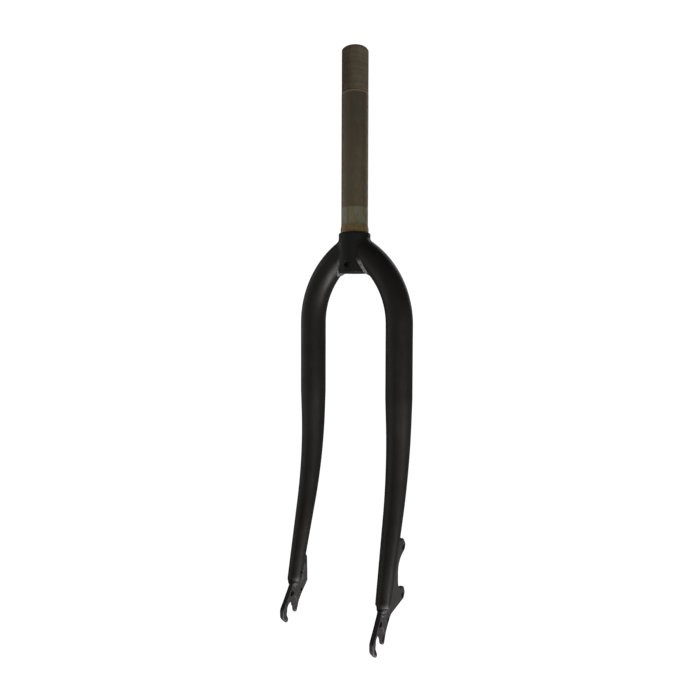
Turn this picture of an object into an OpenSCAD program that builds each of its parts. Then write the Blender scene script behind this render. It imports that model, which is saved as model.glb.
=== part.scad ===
// Rigid unicrown bicycle fork with a threaded steerer and disc brake tabs.
// Origin on the steering axis at the crown race shoulder. +Z is up the steerer,
// -Y is forward, +X is the rider's left, the side that carries the disc tabs.

/* [Steerer] */
// Outer diameter of the steerer tube
steerer_od = 28.6; // [25:0.1:32]
// Bore of the steerer tube, which takes a quill stem
steerer_bore = 25.4; // [22:0.1:26]
// Length of the steerer above the crown race shoulder
steerer_len = 192; // [120:1:260]
// Length of the threaded end, which also carries the keyway
thread_len = 46.5; // [25:0.5:80]
// Outer diameter over the thread
thread_od = 28.4; // [24.8:0.1:31.8]
// Chamfer at the top of the steerer
top_chamfer = 0.9; // [0.4:0.1:1.4]
// Width of the run-out groove where the thread starts
runout_w = 0.9; // [0.6:0.1:2]
// Depth of that groove below the outside of the thread
runout_depth = 0.4; // [0.2:0.1:0.8]
// Width of the washer keyway at the back of the thread
keyway_w = 3; // [2:0.1:5]
// Depth of the washer keyway
keyway_depth = 0.9; // [0.4:0.1:1.2]

/* [Crown] */
// Diameter of the seat for the crown race
race_seat_d = 30; // [29:0.1:33]
// Height of the seat for the crown race
race_seat_h = 5; // [3:0.5:10]
// Height of the lead-in above the race seat
race_lead_h = 3; // [1:0.5:6]
// Diameter of the thick foot of the steerer below the shoulder
crown_od = 34; // [32:0.5:42]
// Length of the thick foot below the shoulder
crown_len = 42.3; // [38:0.1:60]
// Chamfer at the shoulder
crown_chamfer = 1.2; // [0.3:0.1:1.4]
// Diameter of the brake or mudguard bolt hole, front to back
crown_hole_d = 6.2; // [4:0.1:8]
// Depth of that hole below the shoulder
crown_hole_drop = 33.2; // [20:0.1:36]

/* [Blades] */
// Outer diameter of a blade above its taper
blade_od = 28; // [24:0.5:30]
// Outer diameter of a blade at its lower end
blade_tip_od = 15.4; // [14:0.1:20]
// Wall thickness of a blade
blade_wall = 1.5; // [1:0.1:2.5]
// Radius of the arch, on the centre line of the blade
arch_r = 91.3; // [80:0.1:110]
// Depth below the shoulder where the arch runs into the straight leg
arch_drop = 96.4; // [90:0.1:120]
// Depth below the shoulder where the taper starts
taper_drop = 171.8; // [130:0.1:185]
// Depth below the shoulder where the forward bend starts
rake_drop = 195.4; // [190:0.1:230]
// Radius of the forward bend
rake_r = 355; // [250:1:500]
// Angle of the forward bend
rake_angle = 16.3; // [8:0.1:20]
// Length of the straight end of a blade, below the bend
blade_end_len = 76; // [60:1:90]
// Outward offset of a blade's axis from the middle of its dropout plate
blade_out = 0.5; // [0:0.1:1.5]

/* [Dropouts] */
// Distance between the two hub seats
hub_spacing = 100; // [74:1:150]
// Thickness of a dropout plate
plate_t = 5; // [4:0.1:8]
// Depth of the hub seat pressed into the inner face
inner_recess = 0.6; // [0.2:0.1:1]
// Depth of the safety washer seat pressed into the outer face
outer_recess = 1.2; // [0.4:0.1:1.6]
// Diameter of both seats round the axle
recess_d = 22; // [16:0.5:24]
// Width of the axle slot
slot_w = 10.6; // [9:0.1:14]
// Distance of the axle centre ahead of the lower end of the blades
axle_ahead = 11.8; // [9:0.1:15]
// Distance of the axle centre below the lower end of the blades
axle_below = 28.02; // [26:0.1:32]
// Distance of the lower disc tab's hole behind the axle centre
tab_behind = 56.6; // [50:0.1:62]
// Height of that hole above the axle centre
tab_above = 13.8; // [8:0.1:20]
// Distance of the right plate's back edge behind the axle centre
fin_behind = 32.4; // [30:0.1:38]
// Lean of that edge, from its foot to its top
fin_slope = 0.8; // [0:0.1:2]
// Height of the foot of that edge above the axle centre
fin_low = 13; // [10:0.1:18]
// Height of the top of that edge above the axle centre
fin_high = 42; // [38:0.1:48]
// Distance of the left plate's lower edge behind the axle centre, where it turns to the tab
web_behind = 26.9; // [24:0.1:32]
// Height of that point above the axle centre
web_above = 9.4; // [6:0.1:14]
// Distance of the left plate's top corner ahead of the upper tab's hole
shoulder_ahead = 16.6; // [14:0.1:18]
// Height of that corner above the upper tab's hole
shoulder_above = 12.4; // [10:0.1:16]
// Diameter of the safety washer tab hole
safety_hole_d = 7; // [5:0.1:8]
// Diameter of the mudguard eyelet, threaded M5
eyelet_d = 4.2; // [4:0.1:6]
// Diameter of the vent hole on the wheel side of each blade
vent_d = 3.2; // [2:0.1:4]
// Distance between the two disc brake bolt holes
tab_spacing = 51; // [45:0.5:60]
// Diameter of the disc brake bolt holes
tab_hole_d = 6.2; // [5:0.1:7]

/* [Welds] */
// Leg length of the bead round each blade at the crown
crown_bead = 3.2; // [2:0.1:5]
// Height of that bead up the foot, as a share of its leg along the blade
foot_share = 0.62; // [0.3:0.01:1]
// Length of the bead that closes the end of each blade
end_bead = 5.5; // [3:0.5:8]
// Radius of the beads along the back of each blade
seam_bead_r = 1.4; // [1:0.1:2.5]

/* [Hidden] */

// A cut reaches this far past the face it opens
past = 1;
round_fn = 96;
// Sides of the curved stretch of a blade, and its rings
loft_sides = 48;
loft_rings = 14;
// Points round a crown bead, and across its face
bead_sides = 60;

blade_r = blade_od / 2;
tip_r = blade_tip_od / 2;
plate_inner_x = hub_spacing / 2 - inner_recess;
leg_x = plate_inner_x + plate_t / 2 + blade_out;
arch_x = leg_x - arch_r;
// Turn of the arch from the leg to a section that lies inside the crown
arch_sweep = 62;
crown_r = crown_od / 2;

// Distances along the blade from the start of its taper
taper_above_bend = rake_drop - taper_drop;
bend_len = rake_r * rake_angle * PI / 180;
taper_len = taper_above_bend + bend_len + blade_end_len;
function radius_at(s) = blade_r - (blade_r - tip_r) * s / taper_len;

// End of the bend, which is the start of the blade's straight end
bend_end_y = -rake_r * (1 - cos(rake_angle));
bend_end_z = -rake_drop - rake_r * sin(rake_angle);
function end_point(s) = [bend_end_y - s * sin(rake_angle), bend_end_z - s * cos(rake_angle)];
tip_y = end_point(blade_end_len)[0];
tip_z = end_point(blade_end_len)[1];

axle = [tip_y - axle_ahead, tip_z - axle_below];
safety_hole = axle + [3.2, 13.6];
eyelet = axle + [20.2, 9];

paint = [0.16, 0.155, 0.15];
bare_steel = [0.42, 0.38, 0.31];
plate_paint = [0.27, 0.26, 0.26];
weld_paint = [0.3, 0.31, 0.31];

// An outline from corner points [y, z, corner radius], each corner an arc
function unit(v) = v / norm(v);
function corner_arc(a, b, c, r, steps = 6) =
    let (u = unit(a - b), w = unit(c - b),
         half = acos(u * w) / 2,
         reach = r / tan(half),
         centre = b + unit(u + w) * r / sin(half),
         p = b + u * reach - centre,
         q = b + w * reach - centre,
         turn = atan2(p[0] * q[1] - p[1] * q[0], p * q))
    r <= 0 ? [b] : [for (i = [0 : steps])
        let (t = turn * i / steps)
        centre + [p[0] * cos(t) - p[1] * sin(t), p[0] * sin(t) + p[1] * cos(t)]];
function rounded(points) =
    let (n = len(points))
    [for (i = [0 : n - 1])
        let (a = points[(i + n - 1) % n], b = points[i], c = points[(i + 1) % n])
        each corner_arc([a[0], a[1]], [b[0], b[1]], [c[0], c[1]], b[2])];

// Places a profile drawn in Y and Z as a slab between two X positions
module slab(x0, x1) {
    translate([x0, 0, 0]) rotate([90, 0, 90]) linear_extrude(x1 - x0) children();
}

// A drilling along X
module drill_x(at, d, x0 = 0, x1 = leg_x + blade_od) {
    translate([x0, at[0], at[1]]) rotate([0, 90, 0]) cylinder(d = d, h = x1 - x0, $fn = round_fn);
}

module on_right() mirror([1, 0, 0]) children();

// Steerer

module steerer_tube() {
    bore_r = steerer_bore / 2;
    thread_r = thread_od / 2;
    thread_start = steerer_len - thread_len;
    color(bare_steel) difference() {
        rotate_extrude($fn = round_fn) polygon([
            [bore_r, -crown_len], [crown_r, -crown_len], [crown_r, -crown_chamfer],
            [crown_r - crown_chamfer, 0], [race_seat_d / 2, 0], [race_seat_d / 2, race_seat_h],
            [steerer_od / 2, race_seat_h + race_lead_h], [steerer_od / 2, thread_start],
            [thread_r - runout_depth, thread_start + runout_w / 2], [thread_r, thread_start + runout_w],
            [thread_r, steerer_len - top_chamfer],
            [thread_r - top_chamfer, steerer_len], [bore_r, steerer_len]]);
        translate([0, crown_r + past, -crown_hole_drop]) rotate([90, 0, 0])
            cylinder(d = crown_hole_d, h = crown_od + 2 * past, $fn = round_fn);
        translate([-keyway_w / 2, thread_r - keyway_depth, thread_start])
            cube([keyway_w, keyway_depth + past, thread_len + past]);
    }
}

// Blades

// The bend of a blade as rings of points, its skin pulled in by inset. Its corners stay a
// hair inside the round tube, and one ring more at either end runs on inside it to join.
loft_ease = 0.03;
loft_lap = 0.1;
module bend_loft(inset) {
    last_ring = loft_rings + 1;
    points = [for (i = [-1 : last_ring])
        let (t = min(max(i / loft_rings, 0), 1),
             a = rake_angle * t,
             run_on = i < 0 ? -past : i == last_ring ? past : 0,
             r = radius_at(taper_above_bend + bend_len * t) - inset - (run_on == 0 ? loft_ease : loft_lap),
             y = -rake_r * (1 - cos(a)) - run_on * sin(a),
             z = -rake_drop - rake_r * sin(a) - run_on * cos(a))
        each [for (j = [0 : loft_sides - 1])
            let (u = 360 * j / loft_sides)
            [leg_x + r * cos(u), y + r * sin(u) * cos(a), z - r * sin(u) * sin(a)]]];
    sides = [for (i = [0 : last_ring], j = [0 : loft_sides - 1])
        let (k = (j + 1) % loft_sides, low = i * loft_sides, high = low + loft_sides)
        each [[low + j, low + k, high + k], [low + j, high + k, high + j]]];
    first = [for (j = [loft_sides - 1 : -1 : 0]) j];
    last = [for (j = [0 : loft_sides - 1]) (last_ring + 1) * loft_sides + j];
    polyhedron(points, concat(sides, [first], [last]));
}

// The arch of a blade, filled to its skin less inset, from inside the crown to the leg
module arch_form(inset) {
    translate([arch_x, 0, -arch_drop]) rotate([90, 0, 0])
        rotate_extrude(angle = arch_sweep, $fn = 3 * round_fn) translate([arch_r, 0])
            circle(r = blade_r - inset, $fn = 1.5 * round_fn);
}

// The straight lower end of a blade, filled to its skin less inset
module end_form(inset, end_extra = 0) {
    translate([leg_x, bend_end_y, bend_end_z]) rotate([-rake_angle, 0, 0])
        translate([0, 0, -blade_end_len - end_extra])
            cylinder(r1 = tip_r - inset, r2 = radius_at(taper_above_bend + bend_len) - inset,
                     h = blade_end_len + end_extra, $fn = round_fn);
}

// A whole blade, filled to its skin less inset
module blade_form(inset, end_extra = 0) {
    arch_form(inset);
    translate([leg_x, 0, -taper_drop])
        cylinder(r = blade_r - inset, h = taper_drop - arch_drop, $fn = round_fn);
    translate([leg_x, 0, -rake_drop])
        cylinder(r1 = radius_at(taper_above_bend) - inset, r2 = blade_r - inset,
                 h = taper_above_bend, $fn = round_fn);
    bend_loft(inset);
    end_form(inset, end_extra);
}

// The round foot of the steerer, carried on below and above it as the mitre's cutter
module mitre_cutter() {
    translate([0, 0, -crown_len - crown_r])
        cylinder(r = crown_r, h = crown_len + crown_r + arch_r, $fn = round_fn);
}

module blade_tube() {
    difference() {
        blade_form(0);
        blade_form(blade_wall, past);
        mitre_cutter();
        drill_x(tang(vent_up, 0), vent_d, leg_x - blade_od, leg_x);
    }
}

module left_blade() {
    color(paint) difference() {
        blade_tube();
        left_plate_cutter();
    }
}

module right_blade() {
    color(paint) on_right() difference() {
        blade_tube();
        right_plate_cutter();
    }
}

// Dropouts

// A point of the plate beside the blade: s up from the blade's lower end, d ahead of its axis
function tang(s, d) =
    [tip_y + s * sin(rake_angle) - d * cos(rake_angle), tip_z + s * cos(rake_angle) + d * sin(rake_angle)];
function corner(at, r) = [at[0], at[1], r];
// Height of the vent hole above the lower end of the blade
vent_up = 4.6;
// Reach of the tang ahead of the blade's axis, and its length in each blade
tang_ahead = 4.6;
short_tang = 18;
long_tang = 44;

// Corners shared by both plates: down the hook, up into the slot, down the prong and up its back
hook_and_prong = [
    corner(tang(-3, tang_ahead), 0),
    corner(axle + [-5.8, 11.4], 14),
    corner(axle + [-13.2, 3.4], 6),
    corner(axle + [-13, -5.6], 8),
    corner(axle + [-4.6, -14.8], 1.4),
    corner(axle + [-3.4, -9.8], 2.5),
    corner(axle + [-6.2, -4.6], 4),
    corner(axle + [-slot_w / 2, 0], 0),
    corner(axle + [slot_w / 2, 0], 0),
    corner(axle + [7.2, -4], 6),
    corner(axle + [9.8, -12.4], 1.2),
    corner(axle + [15.4, -1.4], 8),
    corner(axle + [21.2, 4.6], 10)];

// The right plate ends in a fin behind the blade
right_outline = concat(hook_and_prong, [
    corner(axle + [fin_behind, fin_low], 2.5),
    corner(axle + [fin_behind - fin_slope, fin_high], 6),
    corner(tang(short_tang, -tip_r) + [0, 4], 1.5),
    corner(tang(short_tang, 0), 2),
    corner(tang(short_tang, tang_ahead), 3)]);

// Disc brake bolt holes, on a line that leans back a little
tab_low = axle + [tab_behind, tab_above];
tab_lean = 1.6;
tab_high = tab_low + tab_spacing * [sin(tab_lean), cos(tab_lean)];

// The left plate runs on up behind the blade and carries the two disc tabs
left_outline = concat(hook_and_prong, [
    corner(axle + [web_behind, web_above], 8),
    corner(tab_low + [3.4, -5.6], 3.4),
    corner(tab_low + [7, -0.4], 4),
    corner(tab_low + [4.4, 6.8], 3),
    corner(tab_low + [-11.1, 13.4], 9),
    corner(tab_high + [-13.1, -10.4], 14),
    corner(tab_high + [4.2, -4.6], 3.6),
    corner(tab_high + [6.9, 0.6], 3),
    corner(tab_high + [1.4, 8.6], 4),
    corner(tab_high + [-shoulder_ahead, shoulder_above], 3),
    corner(tang(long_tang, 0) + [0, 1], 3),
    corner(tang(long_tang, tang_ahead), 3)]);

module plate(outline) {
    slab(plate_inner_x, plate_inner_x + plate_t) polygon(rounded(outline));
}

// The slot, both seats and the two small holes, cut the same way in each plate
module axle_cuts() {
    drill_x(axle, slot_w);
    drill_x(axle, recess_d, plate_inner_x - past, plate_inner_x + inner_recess);
    drill_x(axle, recess_d, plate_inner_x + plate_t - outer_recess, plate_inner_x + plate_t + past);
    drill_x(safety_hole, safety_hole_d);
    drill_x(eyelet, eyelet_d);
}

module left_plate_cutter() plate(left_outline);
module right_plate_cutter() plate(right_outline);

module left_dropout() {
    color(plate_paint) difference() {
        plate(left_outline);
        axle_cuts();
        drill_x(tab_low, tab_hole_d);
        drill_x(tab_high, tab_hole_d);
    }
}

module right_dropout() {
    color(plate_paint) on_right() difference() {
        plate(right_outline);
        axle_cuts();
    }
}

// Welds

// Point where a blade skin of radius r meets a foot of radius rc, t round the blade.
// slide moves the point down the blade, away from the foot.
function saddle(t, r, rc, slide = 0) =
    let (y = r * sin(t),
         x = sqrt(rc * rc - y * y),
         rho = arch_r + r * cos(t),
         phi = acos((x - arch_x) / rho) - slide * 180 / PI / rho)
    [arch_x + rho * cos(phi), y, -arch_drop + rho * sin(phi)];

// One bead round the mitre, from the foot's skin to the blade's. Its toes run on under both
// skins, which then cut them off.
bead_sink = 0.8;
bead_crown = 0.5;
toe_run = 0.5;
module crown_bead_ring() {
    ring = [for (i = [0 : bead_sides - 1])
        let (t = 360 * (i + 0.5) / bead_sides,
             corner = saddle(t, blade_r, crown_r),
             blade_toe = saddle(t, blade_r, crown_r, crown_bead),
             foot_toe = saddle(t, blade_r + crown_bead * foot_share, crown_r),
             swell = bead_crown * unit((blade_toe + foot_toe) / 2 - corner),
             low = blade_toe * 0.66 + foot_toe * 0.34 + swell,
             high = blade_toe * 0.34 + foot_toe * 0.66 + swell)
        each [saddle(t, blade_r - bead_sink, crown_r - bead_sink),
              blade_toe + (blade_toe - low) * toe_run, low,
              high, foot_toe + (foot_toe - high) * toe_run]];
    across = 5;
    polyhedron(ring, [for (i = [0 : bead_sides - 1], j = [0 : across - 1])
        let (k = (j + 1) % across, here = i * across, next = ((i + 1) % bead_sides) * across)
        each [[here + j, here + k, next + k], [here + j, next + k, next + j]]]);
}

// The bead stops level with the bottom of the foot
module crown_weld() {
    color(weld_paint) difference() {
        crown_bead_ring();
        mitre_cutter();
        arch_form(0);
        translate([0, -crown_od, -crown_len - crown_od]) cube([2 * crown_od, 2 * crown_od, crown_od]);
    }
}

module left_crown_weld() crown_weld();
module right_crown_weld() on_right() crown_weld();

// The bead that closes the lower end of a blade, as a turned dome on its axis
module end_dome() {
    translate([leg_x, tip_y, tip_z]) rotate([-rake_angle, 0, 0]) rotate([180, 0, 0])
        rotate_extrude($fn = round_fn) polygon([
            [0, 0], [tip_r, 0],
            for (a = [15 : 15 : 75]) [tip_r * (0.42 + 0.58 * cos(a)), end_bead * sin(a)],
            [tip_r * 0.42, end_bead], [0, end_bead]]);
}

// A straight bead along the line where the plate's face leaves the back of the blade
module seam_bead(x, len) {
    half_t = abs(x - leg_x);
    r_top = radius_at(taper_len - len);
    low = concat([x], tang(0, -sqrt(tip_r * tip_r - half_t * half_t)));
    high = concat([x], tang(len, -sqrt(r_top * r_top - half_t * half_t)));
    run = high - low;
    translate(low) rotate([0, acos(run[2] / norm(run)), atan2(run[1], run[0])])
        cylinder(r = seam_bead_r, h = norm(run), $fn = round_fn / 2);
}

module left_dropout_weld() {
    color(weld_paint) difference() {
        union() {
            end_dome();
            seam_bead(plate_inner_x, long_tang - 2);
            seam_bead(plate_inner_x + plate_t, long_tang - 2);
        }
        end_form(0);
        left_plate_cutter();
    }
}

module right_dropout_weld() {
    color(weld_paint) on_right() difference() {
        union() {
            end_dome();
            seam_bead(plate_inner_x, short_tang - 2);
            seam_bead(plate_inner_x + plate_t, short_tang - 2);
        }
        end_form(0);
        right_plate_cutter();
    }
}

steerer_tube();
left_blade();
right_blade();
left_dropout();
right_dropout();
left_crown_weld();
right_crown_weld();
left_dropout_weld();
right_dropout_weld();
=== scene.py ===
"""Looks of the bicycle fork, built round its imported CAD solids.

Lengths are in millimetres in the row's frame: the origin is on the steering axis at the crown
race shoulder, +Z is up the steerer, -Y is forward and +X is the rider's left. The stage and the
camera are in metres. Each paired piece is built as the left one and mirrored for the right.
"""

import math

import bmesh
import bpy
import numpy as np
from mathutils import Matrix, Vector


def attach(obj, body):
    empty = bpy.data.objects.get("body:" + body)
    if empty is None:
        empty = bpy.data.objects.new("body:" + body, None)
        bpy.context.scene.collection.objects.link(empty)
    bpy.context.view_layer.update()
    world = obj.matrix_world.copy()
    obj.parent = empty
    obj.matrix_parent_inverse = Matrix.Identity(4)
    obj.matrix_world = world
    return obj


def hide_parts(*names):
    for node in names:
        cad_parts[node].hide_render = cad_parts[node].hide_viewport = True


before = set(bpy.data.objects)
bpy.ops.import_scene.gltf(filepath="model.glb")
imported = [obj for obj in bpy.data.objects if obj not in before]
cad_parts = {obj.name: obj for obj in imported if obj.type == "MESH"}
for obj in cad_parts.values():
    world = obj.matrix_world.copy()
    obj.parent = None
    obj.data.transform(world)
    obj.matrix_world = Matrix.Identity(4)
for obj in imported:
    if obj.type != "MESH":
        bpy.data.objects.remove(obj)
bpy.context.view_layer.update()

MM = 0.001

# Steerer
BORE_R = 12.7
PLAIN_R = 14.3
THREAD_R = 14.2
FOOT_R = 17.0
SEAT_R = 15.0
SEAT_H = 5.0
LEAD_H = 3.0
STEERER_TOP = 192.0
THREAD_START = 145.5
FOOT_BOTTOM = -42.3
FOOT_EDGE_R = 1.2
SHOULDER_CHAMFER = 1.2
TOP_CHAMFER = 0.9
THREAD_PITCH = 25.4 / 26
THREAD_DEPTH = 0.5
RINGS_PER_TURN = 7
KEYWAY_HALF = 1.5
KEYWAY_FLOOR = THREAD_R - 0.9
BOLT_HOLE_R = 3.1
BOLT_HOLE_Z = -33.2
BOLT_HOLE_FLARE = 0.45

# Blades
BLADE_R = 14.0
TIP_R = 7.7
LEG_X = 52.4
ARCH_R = 91.3
ARCH_X = LEG_X - ARCH_R
ARCH_Z = -96.4
TAPER_Z = -171.8
RAKE_Z = -195.4
RAKE_R = 355.0
RAKE = math.radians(16.3)
END_LEN = 76.0
BEND_LEN = RAKE_R * RAKE
TAPER_LEN = TAPER_Z - RAKE_Z + BEND_LEN + END_LEN
BEND_Y = -RAKE_R * (1 - math.cos(RAKE))
BEND_Z = RAKE_Z - RAKE_R * math.sin(RAKE)
TIP_Y = BEND_Y - END_LEN * math.sin(RAKE)
TIP_Z = BEND_Z - END_LEN * math.cos(RAKE)
VENT_R = 1.6
VENT_UP = 4.6
SKIN_PAST = {"left": 1.5, "right": 3.2}

# Dropouts
PLATE_IN = 49.4
PLATE_T = 5.0
PLATE_OUT = PLATE_IN + PLATE_T
AXLE = np.array([-47.4, -396.0])
SLOT_R = 5.3
SEAT_RECESS_R = 11.0
INNER_RECESS = 0.6
OUTER_RECESS = 1.2
SAFETY_HOLE = AXLE + [3.2, 13.6]
SAFETY_R = 3.5
EYELET = AXLE + [20.2, 9.0]
EYELET_R = 2.1
TAB_LOW = np.array([9.2, -382.2])
TAB_LEAN = math.radians(1.6)
TAB_HIGH = TAB_LOW + 51 * np.array([math.sin(TAB_LEAN), math.cos(TAB_LEAN)])
TAB_HOLE_R = 3.1
TANG_AHEAD = 4.6

# Welds
CROWN_LEG = 3.2
CROWN_ROOT = 0.8
FOOT_SHARE = 0.62
TOE_SPREAD = 0.16
TOE_SINK = 0.25
DOME_LEN = 9.0
DOME_REACH = {"left": 9.0, "right": 11.5}
PIT_DEPTH = 1.7
BLOB_H = 0.7
SEAM_LEN = {"left": 42, "right": 16}
SEAM_BACK = 2.8
SEAM_HALF = 3.7
SEAM_HALF_LOW = 1.8
SEAM_STEP = 0.35


def turns(n):
    """n angles evenly spaced round a circle."""
    return [2 * math.pi * j / n for j in range(n)]


def smooth_step(a, b, x):
    """0 before a and 1 past b, with a smooth climb between them."""
    t = min(max((x - a) / (b - a), 0.0), 1.0)
    return t * t * (3 - 2 * t)


def along(stops, h):
    """The value at h of a line through (h, value) stops."""
    return float(np.interp(h, [q[0] for q in stops], [q[1] for q in stops]))


def bulge(x, at, width):
    """A smooth hump of height 1 at one place."""
    return math.exp(-((x - at) / width) ** 2)


def noise(i):
    """A repeatable number between -1 and 1 for a whole number i."""
    return 2 * ((math.sin(i * 12.9898) * 43758.5453) % 1.0) - 1


def soft_noise(x):
    """The repeatable noise, smooth between whole numbers."""
    i = math.floor(x)
    f = x - i
    f = f * f * (3 - 2 * f)
    return noise(i) * (1 - f) + noise(i + 1) * f


def shade(obj, angle):
    """Smooth faces, with sharp edges above an angle in degrees."""
    mesh = obj.data
    mesh.polygons.foreach_set("use_smooth", [True] * len(mesh.polygons))
    mesh.set_sharp_from_angle(angle=math.radians(angle))


def add_object(name, vertices, faces, smooth_angle=40):
    """A mesh object from points in millimetres, smooth below an edge angle in degrees."""
    mesh = bpy.data.meshes.new(name)
    points = [tuple(float(c) * MM for c in v) for v in vertices]
    mesh.from_pydata(points, [], [tuple(int(i) for i in f) for f in faces])
    mesh.validate()
    obj = bpy.data.objects.new(name, mesh)
    bpy.context.scene.collection.objects.link(obj)
    bm = bmesh.new()
    bm.from_mesh(mesh)
    bmesh.ops.remove_doubles(bm, verts=bm.verts, dist=1e-7)
    bmesh.ops.recalc_face_normals(bm, faces=bm.faces)
    bm.to_mesh(mesh)
    bm.free()
    shade(obj, smooth_angle)
    return obj


def grid(rows, ends="capped"):
    """Vertices and faces of stacked closed rows of points.

    The ends are capped, joined to each other, or only the first is capped ("first").
    """
    n = len(rows)
    m = len(rows[0])
    last = (n - 1) * m
    vertices = [p for row in rows for p in row]
    faces = []
    for i in range(n - 1):
        for j in range(m):
            k = (j + 1) % m
            faces.append((i * m + j, i * m + k, (i + 1) * m + k, (i + 1) * m + j))
    if ends == "joined":
        for j in range(m):
            k = (j + 1) % m
            faces.append((last + j, last + k, k, j))
        return vertices, faces
    faces.append(tuple(range(m - 1, -1, -1)))
    if ends == "capped":
        faces.append(tuple(last + j for j in range(m)))
    return vertices, faces


def turned_cutter(profile, place, segments):
    """A closed turned solid from (r, h) points, placed by a function of (r cos, r sin, h)."""
    rows = [[place(r * math.cos(t), r * math.sin(t), h) for t in turns(segments)]
            for r, h in profile]
    return add_object("cutter", *grid(rows))


def cut(obj, cutter):
    """obj loses what the closed mesh cutter covers."""
    bpy.context.view_layer.objects.active = obj
    mod = obj.modifiers.new("cut", "BOOLEAN")
    mod.operation = "DIFFERENCE"
    mod.solver = "MANIFOLD"
    mod.object = cutter
    bpy.context.view_layer.update()
    done = bpy.data.meshes.new_from_object(obj.evaluated_get(bpy.context.evaluated_depsgraph_get()))
    obj.modifiers.remove(mod)
    old = obj.data
    obj.data = done
    bpy.data.meshes.remove(old)
    mesh = cutter.data
    bpy.data.objects.remove(cutter)
    bpy.data.meshes.remove(mesh)


def mirror_x(obj):
    """Turns a left-hand piece into the right-hand one."""
    obj.data.transform(Matrix.Scale(-1, 4, (1, 0, 0)))
    obj.data.flip_normals()


def thread_depth(z, a):
    """Depth below the crest of the rounded 60 degree thread, at height z and angle a."""
    fade = smooth_step(0.2, 1.6, z - THREAD_START)
    phase = (z / THREAD_PITCH - a / (2 * math.pi)) % 1.0
    return THREAD_DEPTH * fade * smooth_step(0.12, 0.88, 1 - abs(phase - 0.5) * 2)


def steerer_rings():
    """The steerer's skin as rings of points: up its outside, over the top and down the bore."""
    back_angle = math.pi / 2
    key_angle = math.asin(KEYWAY_HALF / THREAD_R)
    key_edges = [back_angle - key_angle - 0.006, back_angle - key_angle + 0.002,
                 back_angle + key_angle - 0.002, back_angle + key_angle + 0.006]
    angles = [t + math.radians(0.7) for t in turns(160)]
    angles = [a for a in angles if min(abs(a - e) for e in key_edges) > 0.02]
    angles = sorted(angles + key_edges)
    rows = []

    def ring(radius, z, key=False):
        row = []
        for a in angles:
            r = radius(a) if callable(radius) else radius
            off = abs((a - back_angle + math.pi) % (2 * math.pi) - math.pi)
            if key and off < key_angle:
                r = min(r, KEYWAY_FLOOR / math.cos(off))
            row.append((r * math.cos(a), r * math.sin(a), z))
        rows.append(row)

    # foot, with a rounded lower edge and a rounded shoulder
    ring(FOOT_R - FOOT_EDGE_R - 1, FOOT_BOTTOM)
    for k in range(7):
        a = math.radians(15 * k)
        ring(FOOT_R - FOOT_EDGE_R * (1 - math.sin(a)), FOOT_BOTTOM + FOOT_EDGE_R * (1 - math.cos(a)))
    for z in np.linspace(FOOT_BOTTOM + 3, -SHOULDER_CHAMFER - 0.5, 12):
        ring(FOOT_R, z)
    for k in range(4):
        a = math.radians(30 * k)
        ring(FOOT_R - SHOULDER_CHAMFER * (1 - math.cos(a)), -SHOULDER_CHAMFER * (1 - math.sin(a)))
    # crown race seat and the slope above it
    ring(SEAT_R + 0.25, 0)
    ring(SEAT_R, 0.25)
    ring(SEAT_R, SEAT_H - 0.3)
    ring(SEAT_R - 0.12, SEAT_H)
    ring(PLAIN_R + 0.1, SEAT_H + LEAD_H - 0.4)
    ring(PLAIN_R, SEAT_H + LEAD_H)
    # plain tube up to a fine ridge where the thread starts
    for z in np.linspace(SEAT_H + LEAD_H + 6, THREAD_START - 4, 16):
        ring(PLAIN_R, z)
    ring(PLAIN_R, THREAD_START - 0.9)
    ring(PLAIN_R + 0.02, THREAD_START - 0.5)
    ring(PLAIN_R + 0.02, THREAD_START - 0.12)
    ring(THREAD_R, THREAD_START, key=True)
    # thread, one helix with the keyway down its back
    thread_len = STEERER_TOP - TOP_CHAMFER - THREAD_START
    steps = int(round(thread_len / THREAD_PITCH * RINGS_PER_TURN))
    for i in range(1, steps + 1):
        z = THREAD_START + thread_len * i / steps
        ring(lambda a, z=z: THREAD_R - thread_depth(z, a), z, key=True)
    # chamfered top and the bore
    ring(THREAD_R - TOP_CHAMFER, STEERER_TOP - 0.15, key=True)
    ring(THREAD_R - TOP_CHAMFER - 0.15, STEERER_TOP)
    ring(BORE_R + 0.25, STEERER_TOP)
    ring(BORE_R, STEERER_TOP - 0.25)
    for z in np.linspace(STEERER_TOP - 6, FOOT_BOTTOM + 6, 16):
        ring(BORE_R, z)
    ring(BORE_R, FOOT_BOTTOM + 0.8)
    ring(BORE_R + 0.8, FOOT_BOTTOM)
    return rows


def steerer():
    """The turned tube, with the crown bolt's hole from front to back."""
    obj = add_object("steerer", *grid(steerer_rings(), "joined"), 32)
    profile = [(BOLT_HOLE_R, 0.0), (BOLT_HOLE_R, FOOT_R - BOLT_HOLE_FLARE - 0.5),
               (BOLT_HOLE_R + 0.12, FOOT_R - 0.5), (BOLT_HOLE_R + BOLT_HOLE_FLARE, FOOT_R - 0.15),
               (BOLT_HOLE_R + BOLT_HOLE_FLARE + 0.5, FOOT_R + 3)]
    for side in (-1, 1):
        cut(obj, turned_cutter(profile, lambda a, b, h, side=side: (a, side * h, BOLT_HOLE_Z + b),
                               48))
    shade(obj, 32)
    return obj


def radius_at(s):
    """Blade radius at a distance s below the start of the taper."""
    return BLADE_R - (BLADE_R - TIP_R) * s / TAPER_LEN


def axis_point(s, d):
    """(y, z) beside the blade: s up from its lower end, d ahead of its axis."""
    return np.array([TIP_Y + s * math.sin(RAKE) - d * math.cos(RAKE),
                     TIP_Z + s * math.cos(RAKE) + d * math.sin(RAKE)])


def arch_point(t, r, phi):
    """A point of an arched skin of radius r: t round its section, phi round the arch."""
    rho = ARCH_R + r * math.cos(t)
    return (ARCH_X + rho * math.cos(phi), r * math.sin(t), ARCH_Z + rho * math.sin(phi))


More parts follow.
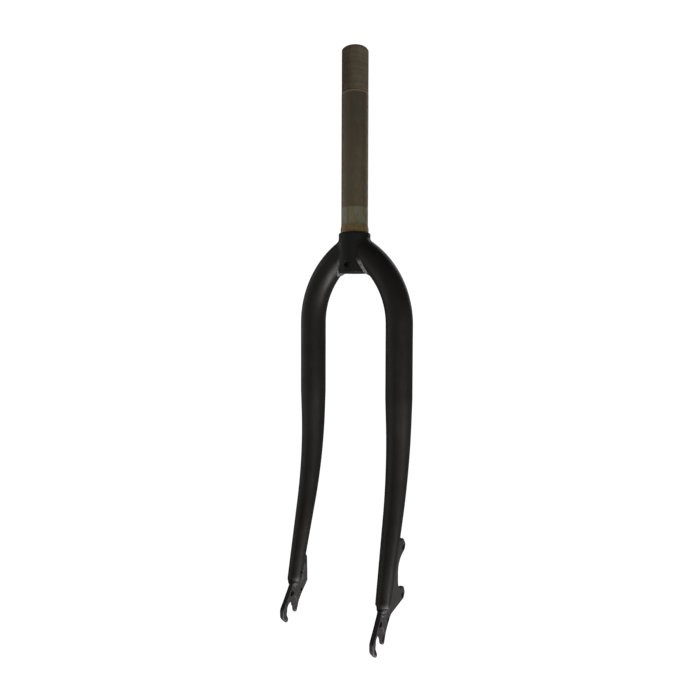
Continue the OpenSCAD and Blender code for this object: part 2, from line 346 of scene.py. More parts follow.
def saddle_turn(t, r, foot_r):
    """The angle round the arch at which a skin of radius r meets a round foot."""
    y = r * math.sin(t)
    x = math.sqrt(max(foot_r * foot_r - y * y, 0.0))
    return math.acos((x - ARCH_X) / (ARCH_R + r * math.cos(t)))


def saddle(t, r, foot_r, slide=0.0):
    """Where a skin of radius r meets a round foot, slid down the arch by a length."""
    phi = saddle_turn(t, r, foot_r) - slide / (ARCH_R + r * math.cos(t))
    return np.array(arch_point(t, r, phi))


def blade(past):
    """The left blade's skin, from inside the foot's wall to a length past its solid's end."""
    angles = turns(96)
    inside = FOOT_R - 1.5
    arch_steps = 46
    rows = []
    for i in range(arch_steps + 1):
        down = 1 - i / arch_steps
        rows.append([arch_point(t, BLADE_R, saddle_turn(t, BLADE_R, inside) * down)
                     for t in angles])

    def section(r, y, z, a):
        rows.append([(LEG_X + r * math.cos(t), y + r * math.sin(t) * math.cos(a),
                      z - r * math.sin(t) * math.sin(a)) for t in angles])

    for z in np.linspace(ARCH_Z - 6, TAPER_Z, 14):
        section(BLADE_R, 0, z, 0)
    for z in np.linspace(TAPER_Z - 4, RAKE_Z, 6):
        section(radius_at(TAPER_Z - z), 0, z, 0)
    for i in range(1, 37):
        a = RAKE * i / 36
        section(radius_at(TAPER_Z - RAKE_Z + RAKE_R * a), -RAKE_R * (1 - math.cos(a)),
                RAKE_Z - RAKE_R * math.sin(a), a)
    for s in np.linspace(4, END_LEN + past - 0.6, 20):
        section(radius_at(TAPER_Z - RAKE_Z + BEND_LEN + s), BEND_Y - s * math.sin(RAKE),
                BEND_Z - s * math.cos(RAKE), RAKE)
    for r, up in ((TIP_R - 0.3, 0.15 - past), (TIP_R - 0.8, -past)):
        section(r, *axis_point(up, 0), RAKE)
    obj = add_object("left_blade_skin", *grid(rows), 40)
    vent = axis_point(VENT_UP, 0)
    profile = [(VENT_R, -2.0), (VENT_R, 7.3), (VENT_R + 0.35, 7.75), (VENT_R + 0.9, 9.5)]
    cut(obj, turned_cutter(profile, lambda a, b, h: (LEG_X - h, vent[0] + a, vent[1] + b), 32))
    shade(obj, 40)
    return obj


def corner(at, r):
    """A corner of a plate's outline in (y, z), rounded to radius r."""
    return (float(at[0]), float(at[1]), r)


HOOK = [
    corner(axis_point(-3, TANG_AHEAD), 0),
    corner(AXLE + [-5.8, 11.4], 14),
    corner(AXLE + [-13.2, 3.4], 6),
    corner(AXLE + [-13, -5.6], 8),
    corner(AXLE + [-4.5, -15.57], 1.9),
    corner(AXLE + [-3.4, -9.8], 2),
    corner(AXLE + [-6.2, -4.6], 4),
    corner(AXLE + [-SLOT_R, -0.6], 0)]
PRONG = [
    corner(AXLE + [SLOT_R, -0.6], 0),
    corner(AXLE + [7.2, -4], 6),
    corner(AXLE + [10.0, -14.6], 1.75),
    corner(AXLE + [15.4, -1.4], 8),
    corner(AXLE + [21.2, 4.6], 10)]
FIN = [
    corner((-15, TIP_Z - 15), 2.5),
    corner((-15.8, TIP_Z + 14), 6),
    corner(axis_point(18, -TIP_R) + [0, 4], 1.5),
    corner(axis_point(18, 0), 2),
    corner(axis_point(18, TANG_AHEAD), 3)]
DISC_MOUNT = [
    corner((-20.5, TAB_LOW[1] - 4.4), 8),
    corner(TAB_LOW + [3.4, -5.6], 3.4),
    corner(TAB_LOW + [7, -0.4], 4),
    corner(TAB_LOW + [4.4, 6.8], 3),
    corner((-1.9, TAB_LOW[1] + 13.4), 9),
    corner((-2.5, TAB_HIGH[1] - 10.4), 14),
    corner(TAB_HIGH + [4.2, -4.6], 3.6),
    corner(TAB_HIGH + [6.9, 0.6], 3),
    corner(TAB_HIGH + [1.4, 8.6], 4),
    corner((-6, TAB_HIGH[1] + 12.4), 3),
    corner(axis_point(44, 0) + [0, 1], 3),
    corner(axis_point(44, TANG_AHEAD), 3)]
PLATE_BACK = {"left": DISC_MOUNT, "right": FIN}
TAB_HOLES = {"left": [TAB_LOW, TAB_HIGH], "right": []}


def arc_corner(a, b, c, r):
    """The points of corner b of an outline, rounded to radius r between a and c."""
    steps = 8
    a, b, c = (np.array(p[:2], float) for p in (a, b, c))
    if r <= 0:
        return [b]
    u = (a - b) / np.linalg.norm(a - b)
    w = (c - b) / np.linalg.norm(c - b)
    half = math.acos(max(-1.0, min(1.0, float(u @ w)))) / 2
    reach = r / math.tan(half)
    centre = b + (u + w) / np.linalg.norm(u + w) * r / math.sin(half)
    p = b + u * reach - centre
    q = b + w * reach - centre
    turn = math.atan2(p[0] * q[1] - p[1] * q[0], float(p @ q))
    out = []
    for i in range(steps + 1):
        t = turn * i / steps
        out.append(centre + np.array([p[0] * math.cos(t) - p[1] * math.sin(t),
                                      p[0] * math.sin(t) + p[1] * math.cos(t)]))
    return out


def outline(back_corners):
    """The plate's outline as points at most 2.4 mm apart, with the slot's round end in it."""
    nearest = 0.02
    spacing = 1.2
    slot_arc = []
    for i in range(1, 18):
        a = math.pi - math.pi * i / 18
        slot_arc.append(corner(AXLE + [SLOT_R * math.cos(a), SLOT_R * math.sin(a)], 0))
    corners = HOOK + slot_arc + PRONG + back_corners
    n = len(corners)
    rough = []
    for i in range(n):
        rough.extend(arc_corner(corners[i - 1], corners[i], corners[(i + 1) % n], corners[i][2]))
    points = []
    for i, p in enumerate(rough):
        q = rough[(i + 1) % len(rough)]
        gap = float(np.linalg.norm(q - p))
        if gap < nearest:
            continue
        steps = max(1, int(gap / spacing))
        points.extend(p + (q - p) * k / steps for k in range(steps))
    return np.array(points)


def inset(points, d):
    """The outline moved inwards by d, which may differ from point to point."""
    before = points - np.roll(points, 1, axis=0)
    after = np.roll(points, -1, axis=0) - points
    before /= np.linalg.norm(before, axis=1)[:, None]
    after /= np.linalg.norm(after, axis=1)[:, None]
    tangent = before + after
    tangent /= np.linalg.norm(tangent, axis=1)[:, None]
    area = 0.5 * np.sum(points[:, 0] * np.roll(points[:, 1], -1)
                        - np.roll(points[:, 0], -1) * points[:, 1])
    side = 1.0 if area > 0 else -1.0
    normal = np.stack([-tangent[:, 1], tangent[:, 0]], 1) * side
    stretch = 1 / np.maximum(np.sum(before * tangent, axis=1), 0.5)
    return points + normal * (d * stretch)[:, None]


def edge_rounds(points):
    """Edge radius at each outline point: small round the slot, soft outside and on the tips."""
    away = np.linalg.norm(points - AXLE, axis=1)
    outside = np.clip((away - 5.6) / 3.4, 0, 1)
    low = np.clip((AXLE[1] - 5.5 - points[:, 1]) / 4.5, 0, 1)
    return 0.5 + 0.9 * outside + 0.35 * low * outside


def plate(name, back_corners):
    """A stamped plate with rounded edges, as the left-hand one."""
    points = outline(back_corners)
    rounds = edge_rounds(points)
    rows = []
    for side in (0, 1):
        for k in (range(7) if side == 0 else range(6, -1, -1)):
            a = math.radians(15 * k)
            ring = inset(points, rounds * (1 - math.sin(a)))
            depth = rounds * (1 - math.cos(a))
            x = PLATE_IN + PLATE_T * side + depth * (1 - 2 * side)
            rows.append([(xi, q[0], q[1]) for xi, q in zip(x, ring)])
    return add_object(name, *grid(rows), 50)


def drill(obj, at, r):
    """A hole of radius r through the plate, with a small flare at both faces."""
    flare = 0.2
    profile = [(r + flare + 1, PLATE_IN - 1), (r + flare, PLATE_IN),
               (r + flare * 0.25, PLATE_IN + flare * 0.4), (r, PLATE_IN + flare),
               (r, PLATE_OUT - flare), (r + flare * 0.25, PLATE_OUT - flare * 0.4),
               (r + flare, PLATE_OUT), (r + flare + 1, PLATE_OUT + 1)]
    cut(obj, turned_cutter(profile, lambda a, b, h: (h, at[0] + a, at[1] + b), 48))


def seat(obj, face_x, depth, side):
    """The round seat pressed into one face; side is +1 where the face looks along +X."""
    soft = 0.3
    profile = [(SEAT_RECESS_R - soft, -depth), (SEAT_RECESS_R - soft * 0.3, -depth + soft * 0.3),
               (SEAT_RECESS_R, min(-depth + soft, -0.05)), (SEAT_RECESS_R + 0.3, 0.15),
               (SEAT_RECESS_R + 1.3, 1.2)]
    cut(obj, turned_cutter(profile, lambda a, b, h: (face_x + side * h, AXLE[0] + a, AXLE[1] + b),
                           96))


def dropout(name, back_corners, tab_holes):
    """A plate with its axle seats and holes, flat-shaded on its flat faces."""
    obj = plate(name, back_corners)
    seat(obj, PLATE_IN, INNER_RECESS, -1)
    seat(obj, PLATE_OUT, OUTER_RECESS, 1)
    drill(obj, SAFETY_HOLE, SAFETY_R)
    drill(obj, EYELET, EYELET_R)
    for at in tab_holes:
        drill(obj, at, TAB_HOLE_R)
    shade(obj, 38)
    for face in obj.data.polygons:
        if abs(face.normal.x) > 0.9999:
            face.use_smooth = False
    return obj


def toe_on_foot(t, leg):
    """The crown bead's toe on the foot, wrapped under the foot's lower edge where it passes it."""
    lowest = FOOT_BOTTOM + 0.1
    furthest_in = 2.6
    toe = saddle(t, BLADE_R + leg * FOOT_SHARE, FOOT_R)
    past_edge = lowest - toe[2]
    if past_edge > 0:
        toe[:2] *= 1 - min(0.9 * past_edge, furthest_in) / FOOT_R
        toe[2] = lowest
    return toe


def crown_weld():
    """The bead round the left mitre, heavier and rippled low down, blended in above."""
    across = 12
    ripple_len = 1.9
    ripple_high = 0.42
    hollow = 0.42
    full = 0.85
    rows = []
    length = 0.0
    last = None
    for t in turns(420):
        base = saddle(t, BLADE_R, FOOT_R)
        if last is not None:
            length += float(np.linalg.norm(base - last))
        last = base
        low_down = smooth_step(-22, -34, base[2])
        leg = CROWN_LEG * (1 + 0.06 * soft_noise(length / 3.1) + 0.25 * low_down)
        blade_toe = saddle(t, BLADE_R, FOOT_R, leg)
        foot_toe = toe_on_foot(t, leg)
        out = (blade_toe + foot_toe) / 2 - base
        out /= np.linalg.norm(out)
        spread = (blade_toe - foot_toe) * TOE_SPREAD
        root = saddle(t, BLADE_R - CROWN_ROOT, FOOT_R - CROWN_ROOT)
        root[2] = max(root[2], FOOT_BOTTOM + 0.9)
        row = [blade_toe + spread - out * TOE_SINK]
        for k in range(1, across):
            u = k / across
            bow = 4 * u * (1 - u)
            phase = length / ripple_len + 0.55 * (2 * u - 1) ** 2
            ripple = abs(math.sin(math.pi * phase)) ** 0.6
            lift = bow * (full * low_down - hollow + ripple_high * low_down * (ripple - 0.6))
            row.append(blade_toe * (1 - u) + foot_toe * u + out * lift)
        row.append(foot_toe - spread - out * TOE_SINK)
        row.append(root)
        rows.append(row)
    return add_object("left_crown_bead", *grid(rows, "joined"), 50)


# Half widths of the weld under a blade's end, by the distance below it. DOME_REACH then draws
# the whole weld out from DOME_LEN to its own length.
DOME_OUTER = {
    "left": ((0, 7.3), (1, 7.0), (2.5, 6.7), (4.5, 6.0), (6.2, 4.8), (7.6, 3.4), (9, 2.35)),
    "right": ((0, 7.3), (1, 7.4), (2.5, 7.4), (4.5, 7.3), (6.2, 6.9), (7.6, 5.9), (9, 2.35))}
DOME_INNER = {
    "left": ((0, 7.3), (1, 6.7), (2.5, 5.9), (4.5, 4.9), (6.2, 3.9), (7.6, 3.0), (9, 2.35)),
    "right": ((0, 7.3), (1, 7.25), (2.5, 7.0), (4.5, 6.2), (6.2, 5.0), (7.6, 3.7), (9, 2.35))}
DOME_AHEAD = ((0, 7.3), (1, 7.1), (2.5, 7.0), (4.5, 6.6), (6.2, 5.9), (7.6, 4.8), (8.4, 3.4),
              (9, 1.2))


def end_weld(hand):
    """The weld that closes a blade's lower end and runs out on the plate."""
    outward = np.array([1.0, 0, 0])
    forward = np.array([0, -math.cos(RAKE), math.sin(RAKE)])
    down = np.array([0, -math.sin(RAKE), -math.cos(RAKE)])
    tip = np.array([LEG_X, TIP_Y, TIP_Z])
    plate_mid = PLATE_IN + PLATE_T / 2 - LEG_X
    root_r = TIP_R - 0.9
    steps = 30
    around = turns(96)
    rows = [[tip + forward * root_r * math.cos(t) + outward * root_r * math.sin(t) - down * 0.8
             for t in around]]
    for k in range(steps + 1):
        h = DOME_LEN * k / steps
        row = []
        for turn in around:
            t = math.pi - turn
            wide = along((DOME_OUTER if t > 0 else DOME_INNER)[hand], h)
            ripple = 0.10 * math.sin(2 * math.pi * (h / 2.1 + 0.3 * math.cos(t))) * bulge(h, 5, 3)
            pit = PIT_DEPTH * bulge(h, 3.6, 1.0) * bulge(t, 0.05, 0.36)
            inner_blob = BLOB_H * bulge(h, 5.2, 1.5) * bulge(t, -0.5, 0.35)
            outer_blob = BLOB_H * bulge(h, 3.2, 1.3) * bulge(t, 0.9, 0.35)
            swell = ripple + inner_blob + outer_blob - pit
            x = (wide + swell) * math.sin(t) + plate_mid * min(1.0, h / 4)
            ahead = (along(DOME_AHEAD, h) + swell) * math.cos(t)
            row.append(tip + forward * ahead + outward * x + down * h * DOME_REACH[hand] / DOME_LEN)
        rows.append(row)
    return add_object("left_end_bead", *grid(rows), 60)


def seam_path(face, seam_len):
    """Points close together under the blade's end and up its back, on one face of the plate."""
    across = abs(face - LEG_X)
    start = math.radians(-34)
    places = []
    for i in range(24):
        a = start + (math.pi / 2 - start) * i / 23
        reach = TIP_R + 1.3 + max(0.0, math.sin(a)) ** 2
        places.append((-reach * math.cos(a), -reach * math.sin(a)))
    for s in np.linspace(1.5, seam_len, 26):
        r = radius_at(TAPER_LEN - s)
        places.append((s, -math.sqrt(r * r - across * across) - SEAM_BACK))
    points = [np.array([face, *axis_point(s, d)]) for s, d in places]
    path = [points[0]]
    for p in points[1:]:
        base = path[-1]
        steps = max(1, int(round(float(np.linalg.norm(p - base)) / SEAM_STEP)))
        path.extend(base + (p - base) * k / steps for k in range(1, steps + 1))
    return path


def seam(name, side, seam_len):
    """The bead on the plate's inner face, where side is -1, or on its outer face."""
    path = seam_path(PLATE_IN if side < 0 else PLATE_OUT, seam_len)
    n = len(path)
    ripple_len = 1.8
    end_steps = 16
    off_face = np.array([1.0, 0, 0])
    rows = []
    length = 0.0
    for i, p in enumerate(path):
        if i:
            length += float(np.linalg.norm(p - path[i - 1]))
        ahead = path[min(i + 2, n - 1)] - path[max(i - 2, 0)]
        ahead /= np.linalg.norm(ahead)
        in_face = np.cross(ahead, off_face)
        to_end = min(1.0, (n - 1 - i) / end_steps)
        taper = min(1.0, 0.25 + i / end_steps) * math.sqrt(max(0.04, 1 - (1 - to_end) ** 2))
        ripple = abs(math.sin(math.pi * length / ripple_len)) ** 0.7
        low = smooth_step(20.0, 9.0, length)
        half = (SEAM_HALF + (SEAM_HALF_LOW - SEAM_HALF) * low) * taper
        half *= 1 + 0.05 * (ripple - 0.5) + 0.06 * soft_noise(length / 2.3 + 3 * side)
        high = half * (0.76 - 0.26 * low)
        rows.append([p + off_face * high * math.cos(t) + in_face * half * math.sin(t)
                     for t in turns(20)])
    return add_object(name, *grid(rows), 60)


def new_material(name):
    """A material with its node tree, its shader and the object coordinates."""
    mat = bpy.data.materials.new(name)
    mat.use_nodes = True
    tree = mat.node_tree
    tree.nodes.clear()
    out = tree.nodes.new("ShaderNodeOutputMaterial")
    bsdf = tree.nodes.new("ShaderNodeBsdfPrincipled")
    tree.links.new(bsdf.outputs["BSDF"], out.inputs["Surface"])
    coords = tree.nodes.new("ShaderNodeTexCoord")
    return mat, tree, bsdf, coords.outputs["Object"]


def height_of(tree, at):
    """The z of the object coordinates, in metres."""
    split = tree.nodes.new("ShaderNodeSeparateXYZ")
    tree.links.new(at, split.inputs[0])
    return split.outputs["Z"]


def noise_node(tree, vector, scale, detail, rough=0.55, stretch=None):
    """Noise of a scale per metre, drawn out where stretch is below 1."""
    if stretch:
        mapping = tree.nodes.new("ShaderNodeMapping")
        mapping.inputs["Scale"].default_value = stretch
        tree.links.new(vector, mapping.inputs["Vector"])
        vector = mapping.outputs["Vector"]
    node = tree.nodes.new("ShaderNodeTexNoise")
    node.inputs["Scale"].default_value = scale
    node.inputs["Detail"].default_value = detail
    node.inputs["Roughness"].default_value = rough
    tree.links.new(vector, node.inputs["Vector"])
    return node.outputs["Fac"]


def ramp(tree, value, low, high, dark=0.0):
    """A grey that climbs from dark at low to white at high."""
    node = tree.nodes.new("ShaderNodeValToRGB")
    first, last = node.color_ramp.elements
    first.position = low
    first.color = (dark, dark, dark, 1)
    last.position = high
    last.color = (1, 1, 1, 1)
    tree.links.new(value, node.inputs["Fac"])
    return node.outputs["Color"]


def mix(tree, factor, a, b, mode="MIX"):
    """a and b mixed by a factor; each is a socket, a number or a colour."""
    node = tree.nodes.new("ShaderNodeMix")
    node.data_type = "RGBA"
    node.blend_type = mode
    for socket, value in ((node.inputs[0], factor), (node.inputs[6], a), (node.inputs[7], b)):
        if isinstance(value, bpy.types.NodeSocket):
            tree.links.new(value, socket)
        elif isinstance(value, (int, float)):
            socket.default_value = value
        else:
            socket.default_value = (*value, 1)
    return node.outputs[2]


def math_node(tree, operation, a, b):
    """One sum on a and b; each is a socket or a number."""
    node = tree.nodes.new("ShaderNodeMath")
    node.operation = operation
    for socket, value in zip(node.inputs, (a, b)):
        if isinstance(value, bpy.types.NodeSocket):
            tree.links.new(value, socket)
        else:
            socket.default_value = value
    return node.outputs[0]


def tinted(tree, colour, mask, share, tint):
    """The colour with a share of the tint where the mask is 1."""
    return mix(tree, math_node(tree, "MULTIPLY", mask, share), colour, tint)


def map_range(tree, value, low, high, to_low, to_high):
    """A value that climbs smoothly from to_low at low to to_high at high."""
    node = tree.nodes.new("ShaderNodeMapRange")
    node.interpolation_type = "SMOOTHSTEP"
    for name, v in (("From Min", low), ("From Max", high), ("To Min", to_low), ("To Max", to_high)):
        node.inputs[name].default_value = v
    tree.links.new(value, node.inputs["Value"])
    return node.outputs["Result"]


def above(tree, z, low, high):
    """0 below a height low in millimetres and 1 above high."""
    return map_range(tree, z, low * MM, high * MM, 0.0, 1.0)


def below(tree, z, low, high):
    """1 below a height low in millimetres and 0 above high."""
    return map_range(tree, z, low * MM, high * MM, 1.0, 0.0)


def bump(tree, bsdf, height, strength, depth):
    """Fine relief on the shader, with its depth in millimetres."""
    node = tree.nodes.new("ShaderNodeBump")
    node.inputs["Strength"].default_value = strength
    node.inputs["Distance"].default_value = depth * MM
    tree.links.new(height, node.inputs["Height"])
    tree.links.new(node.outputs["Normal"], bsdf.inputs["Normal"])


def paint(name, base, worn, rough, spread, dusty=0.22):
    """Satin black paint: fine orange peel, faint cloudy wear and specks of dust."""
    mat, tree, bsdf, at = new_material(name)
    cloud = ramp(tree, noise_node(tree, at, 38, 4, 0.6), 0.35, 0.75)
    colour = mix(tree, cloud, base, worn)
    specks = ramp(tree, noise_node(tree, at, 1400, 2, 0.5), 0.66, 0.74)
    dust = tuple(min(1.0, c * 2.6 + 0.01) for c in worn)
    tree.links.new(tinted(tree, colour, specks, dusty, dust), bsdf.inputs["Base Color"])
    roughness = map_range(tree, noise_node(tree, at, 90, 3, 0.6), 0.3, 0.7, rough - spread,
                          rough + spread)
    tree.links.new(roughness, bsdf.inputs["Roughness"])
    bsdf.inputs["Specular IOR Level"].default_value = 0.3
    bump(tree, bsdf, noise_node(tree, at, 900, 2, 0.5), 0.05, 0.3)
    return mat, tree, bsdf, at


# Heights in millimetres between which a colour on the steel or on the crown bead changes
HEATED_END = (7.2, 9.5)
GROUND_START = (7.2, 10.0)
GROUND_END = (26.2, 27.0)
YELLOW_END = (30, 115)
DARK_START = (85, 125)
PAINT_TOP = (0.1, 0.6)
BARE_AND_LIT_BEAD_TOP = (-34, -26)


def crown_bead_paint():
    """The blades' paint on the fillet above, and a lighter bead with bright spots low down: partly
    the lighter bare weld, partly painted highlight.
    """
    mat, tree, bsdf, at = paint("crown_bead_paint", BLADE_BASE, BLADE_WORN, 0.42, 0.05)
    # Low down the bead is painted lighter, partly for its bare weld and partly as painted light; its
    # bright spots are painted highlights.
    low = below(tree, height_of(tree, at), *BARE_AND_LIT_BEAD_TOP)
    highlight_spots = ramp(tree, noise_node(tree, at, 420, 2, 0.5), 0.40, 0.62, 0.25)
    painted = bsdf.inputs["Base Color"].links[0].from_socket
    bare_and_lit = mix(tree, highlight_spots, (0.050, 0.048, 0.045), (0.20, 0.195, 0.185))
    tree.links.new(mix(tree, low, painted, bare_and_lit), bsdf.inputs["Base Color"])
    return mat


def turned_tube(tree, at, z):
    """Colour of oily turned steel: yellower and lighter low down, darker high up."""
    streak = ramp(tree, noise_node(tree, at, 60, 4, 0.6, (3.0, 3.0, 0.25)), 0.3, 0.7)
    colour = mix(tree, streak, (0.190, 0.144, 0.092), (0.182, 0.156, 0.118))
    colour = tinted(tree, colour, noise_node(tree, at, 26, 3, 0.6), 0.35, (0.19, 0.155, 0.085))
    colour = tinted(tree, colour, below(tree, z, *YELLOW_END), 0.30, (0.235, 0.190, 0.105))
    return tinted(tree, colour, above(tree, z, *DARK_START), 0.25, (0.125, 0.105, 0.092))


def oily_thread(tree, at, z, colour, thread):
    """The thread's brown oil and faint rings, and the bright run-out at its foot."""
    colour = tinted(tree, colour, thread, 0.28, (0.27, 0.22, 0.15))
    rings = ramp(tree, noise_node(tree, at, 760, 1, 0.5, (0.05, 0.05, 1.0)), 0.40, 0.60, 0.84)
    colour = mix(tree, thread, colour, mix(tree, 1.0, colour, rings, "MULTIPLY"))
    run_out = math_node(tree, "MULTIPLY", above(tree, z, THREAD_START - 1.1, THREAD_START - 0.4),
                        below(tree, z, THREAD_START - 0.2, THREAD_START + 0.7))
    return tinted(tree, colour, run_out, 0.75, (0.56, 0.44, 0.26))


def ground_and_heated(tree, at, z, colour):
    """The ground band above the seat, with a straight upper edge, and the heat tint below it."""
    scratch = ramp(tree, noise_node(tree, at, 150, 4, 0.65, (2.6, 2.6, 0.35)), 0.38, 0.64)
    ground = mix(tree, scratch, (0.250, 0.235, 0.150), (0.360, 0.345, 0.250))
    gold = ramp(tree, noise_node(tree, at, 85, 2, 0.5, (2.2, 2.2, 0.25)), 0.56, 0.70)
    ground = tinted(tree, ground, gold, 0.6, (0.42, 0.31, 0.12))
    band = math_node(tree, "MULTIPLY", above(tree, z, *GROUND_START), below(tree, z, *GROUND_END))
    colour = tinted(tree, colour, band, 0.9, ground)
    mottle = ramp(tree, noise_node(tree, at, 90, 3, 0.6), 0.35, 0.65)
    brass = mix(tree, mottle, (0.290, 0.180, 0.090), (0.430, 0.320, 0.130))
    return tinted(tree, colour, below(tree, z, *HEATED_END), 0.9, brass)


def bare_steel():
    """Turned steel above the shoulder, and black paint on the foot with an uneven edge."""
    mat, tree, bsdf, at = new_material("bare_steel")
    z = height_of(tree, at)
    thread = above(tree, z, THREAD_START - 0.3, THREAD_START + 0.3)
    colour = turned_tube(tree, at, z)
    colour = oily_thread(tree, at, z, colour, thread)
    colour = ground_and_heated(tree, at, z, colour)
    wave = math_node(tree, "SUBTRACT", noise_node(tree, at, 260, 2), 0.5)
    edge = math_node(tree, "ADD", z, math_node(tree, "MULTIPLY", wave, 1.2 * MM))
    painted = below(tree, edge, *PAINT_TOP)
    colour = mix(tree, painted, colour, (0.0085, 0.0080, 0.0070))
    tree.links.new(colour, bsdf.inputs["Base Color"])
    metal = math_node(tree, "SUBTRACT", 1.0, painted)
    tree.links.new(math_node(tree, "MULTIPLY", metal, 0.85), bsdf.inputs["Metallic"])
    rough = map_range(tree, noise_node(tree, at, 140, 4, 0.6), 0.3, 0.7, 0.50, 0.62)
    rough = mix(tree, thread, rough, (0.80, 0.80, 0.80))
    rough = mix(tree, painted, rough, (0.56, 0.56, 0.56))
    tree.links.new(rough, bsdf.inputs["Roughness"])
    bsdf.inputs["Specular IOR Level"].default_value = 0.3
    turned = noise_node(tree, at, 300, 2, 0.5, (0.15, 0.15, 8.0))
    bump(tree, bsdf, math_node(tree, "MULTIPLY", turned, metal), 0.25, 0.12)
    return mat


def give(obj, mat):
    """The object wears this material alone."""
    obj.data.materials.clear()
    obj.data.materials.append(mat)


def dress(obj, mat, node, name):
    """Names a piece, paints it, hangs it on the root body and hides the solid it stands for."""
    obj.name = name
    obj.data.name = name
    give(obj, mat)
    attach(obj, "root")
    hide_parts(node)


# Paint colours
BLADE_BASE = (0.0124, 0.0107, 0.0089)
BLADE_WORN = (0.0183, 0.0159, 0.0132)
# The plates wear the blades' black paint made over twice as light: painted light for the light the
# plates catch low down.
PLATE_BASE_PAINTED_LIGHT = (0.0290, 0.0258, 0.0254)
PLATE_WORN_PAINTED_LIGHT = (0.0410, 0.0368, 0.0360)
BEAD_BASE = (0.0100, 0.0092, 0.0088)
BEAD_WORN = (0.0200, 0.0187, 0.0181)
# The seams' paint is made lighter than the blades': a painted sheen for the light caught along the
# weld fillets.
SEAM_BASE_PAINTED_SHEEN = (0.0380, 0.0348, 0.0340)
SEAM_WORN_PAINTED_SHEEN = (0.0540, 0.0502, 0.0488)

crown_mat = crown_bead_paint()
steel_mat = bare_steel()
blade_mat = paint("blade_paint", BLADE_BASE, BLADE_WORN, 0.42, 0.05)[0]
plate_painted_light_mat = paint("plate_paint", PLATE_BASE_PAINTED_LIGHT, PLATE_WORN_PAINTED_LIGHT, 0.60, 0.04, 0.04)[0]
seam_sheen_mat = paint("seam_paint_painted_sheen", SEAM_BASE_PAINTED_SHEEN, SEAM_WORN_PAINTED_SHEEN, 0.50, 0.06, 0.06)[0]
bead_mat = paint("weld_paint", BEAD_BASE, BEAD_WORN, 0.60, 0.06, 0.06)[0]

dress(steerer(), steel_mat, "steerer_tube", "steerer")
for hand in ("left", "right"):
    skin = blade(SKIN_PAST[hand])
    drop = dropout(hand + "_plate", PLATE_BACK[hand], TAB_HOLES[hand])
    crown = crown_weld()
    end = end_weld(hand)
    inner_seam = seam("inner_seam", -1, SEAM_LEN[hand])
    outer_seam = seam("outer_seam", 1, SEAM_LEN[hand])
    if hand == "right":
        for obj in (skin, drop, crown, end, inner_seam, outer_seam):
            mirror_x(obj)
    dress(skin, blade_mat, hand + "_blade", hand + "_blade_skin")
    dress(drop, plate_painted_light_mat, hand + "_dropout", hand + "_plate")
    dress(crown, crown_mat, hand + "_crown_weld", hand + "_crown_bead")
    dress(end, bead_mat, hand + "_dropout_weld", hand + "_end_bead")
    dress(inner_seam, seam_sheen_mat, hand + "_dropout_weld", hand + "_inner_seam")
    dress(outer_seam, seam_sheen_mat, hand + "_dropout_weld", hand + "_outer_seam")


# Stage, in metres
FLOOR_LOW = -1.7
FLOOR_FLAT_R = 4.0
FLOOR_CURVE_R = 1.6
FLOOR_GLOW = 1.0
WORLD_GLOW = 0.105
CAM_AZ = math.radians(28.52)
CAM_EL = math.radians(1.90)
CAM_ROLL = math.radians(0.21)
CAM_EYE = (0.2475, -0.4554, -0.0707)
FORK_MIDDLE = (0, 0, -0.1)
CROWN_BELOW = (-0.05, 0, -0.06)


def add_camera():
    """A camera that sees the fork as the photograph does."""
    data = bpy.data.cameras.new("camera")
    data.lens = 24.835
    data.sensor_width = 36
    data.shift_x = -0.0062
    data.shift_y = -0.0488
    data.clip_start = 0.01
    data.clip_end = 50
    camera = bpy.data.objects.new("camera", data)
    bpy.context.scene.collection.objects.link(camera)
    bpy.context.scene.camera = camera
    back = Vector((math.sin(CAM_AZ) * math.cos(CAM_EL), -math.cos(CAM_AZ) * math.cos(CAM_EL),
                   math.sin(CAM_EL)))
    right = Vector((math.cos(CAM_AZ), math.sin(CAM_AZ), 0))
    up = back.cross(right)
    cam_x = right * math.cos(CAM_ROLL) + up * math.sin(CAM_ROLL)
    cam_y = up * math.cos(CAM_ROLL) - right * math.sin(CAM_ROLL)
    camera.matrix_world = Matrix((
        (cam_x[0], cam_y[0], back[0], CAM_EYE[0]),
        (cam_x[1], cam_y[1], back[1], CAM_EYE[1]),
        (cam_x[2], cam_y[2], back[2], CAM_EYE[2]),
        (0, 0, 0, 1)))


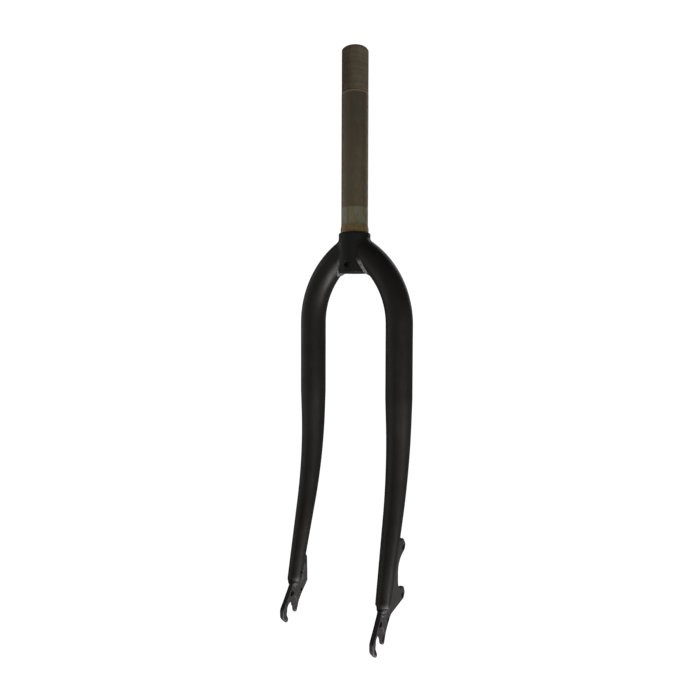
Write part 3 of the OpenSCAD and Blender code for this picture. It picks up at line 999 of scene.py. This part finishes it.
def floor_sweep():
    """A pale round floor under the fork that curves up on every side."""
    profile = [(r, FLOOR_LOW) for r in (0.5, 1.5, 2.75, FLOOR_FLAT_R)]
    for k in range(1, 13):
        a = math.radians(90 * k / 12)
        profile.append((FLOOR_FLAT_R + FLOOR_CURVE_R * math.sin(a),
                        FLOOR_LOW + FLOOR_CURVE_R * (1 - math.cos(a))))
    profile.extend((FLOOR_FLAT_R + FLOOR_CURVE_R, z) for z in (2.5, 4.5, 6.5))
    rows = [[(r * math.cos(t), r * math.sin(t), z) for t in turns(48)] for r, z in profile]
    vertices, faces = grid(rows, "first")
    mesh = bpy.data.meshes.new("floor")
    mesh.from_pydata(vertices, [], faces)
    obj = bpy.data.objects.new("floor", mesh)
    bpy.context.scene.collection.objects.link(obj)
    shade(obj, 60)
    mat, _, bsdf, _ = new_material("floor")
    bsdf.inputs["Base Color"].default_value = (0.5, 0.5, 0.5, 1)
    bsdf.inputs["Roughness"].default_value = 0.95
    bsdf.inputs["Specular IOR Level"].default_value = 0.0
    bsdf.inputs["Emission Color"].default_value = (1, 1, 1, 1)
    bsdf.inputs["Emission Strength"].default_value = FLOOR_GLOW
    give(obj, mat)
    obj.visible_diffuse = False
    obj.visible_glossy = False
    obj.visible_shadow = False


def world_light():
    """A faint even light from everywhere."""
    world = bpy.data.worlds.new("world")
    bpy.context.scene.world = world
    world.use_nodes = True
    tree = world.node_tree
    tree.nodes.clear()
    out = tree.nodes.new("ShaderNodeOutputWorld")
    light = tree.nodes.new("ShaderNodeBackground")
    light.inputs["Color"].default_value = (0.95, 0.98, 1, 1)
    light.inputs["Strength"].default_value = WORLD_GLOW
    tree.links.new(light.outputs[0], out.inputs["Surface"])


def area_light(name, at, to, size, power):
    """A soft rectangle of light, size in metres and power in watts."""
    data = bpy.data.lights.new(name, "AREA")
    data.shape = "RECTANGLE"
    data.size = size[0]
    data.size_y = size[1]
    data.energy = power
    obj = bpy.data.objects.new(name, data)
    bpy.context.scene.collection.objects.link(obj)
    obj.location = at
    obj.rotation_euler = (Vector(to) - Vector(at)).to_track_quat("-Z", "Y").to_euler()


add_camera()
floor_sweep()
world_light()
area_light("left_front", (-1.6, -1.8, 0.25), FORK_MIDDLE, (1.6, 1.6), 1.2)
area_light("left_high", (-1.2, -1.2, 1.4), FORK_MIDDLE, (1.2, 1.2), 1.3)
area_light("left_low", (-1.6, -1.4, -0.9), FORK_MIDDLE, (1.2, 1.2), 2.7)
area_light("left_side", (-2.0, -0.2, 0.1), FORK_MIDDLE, (1.2, 1.6), 3.9)
area_light("back_light", (0.2, 1.8, 0.8), FORK_MIDDLE, (1.2, 1.6), 6.5)
area_light("low_right", (1.05, -0.24, -1.18), CROWN_BELOW, (0.8, 0.8), 8.5)
area_light("low_middle", (0.62, -0.19, -1.48), CROWN_BELOW, (1.0, 0.8), 18)
area_light("low_front", (0.52, -1.04, -1.56), CROWN_BELOW, (1.0, 0.8), 11)

bpy.context.scene.view_settings.view_transform = "Standard"
bpy.context.scene.view_settings.look = "None"
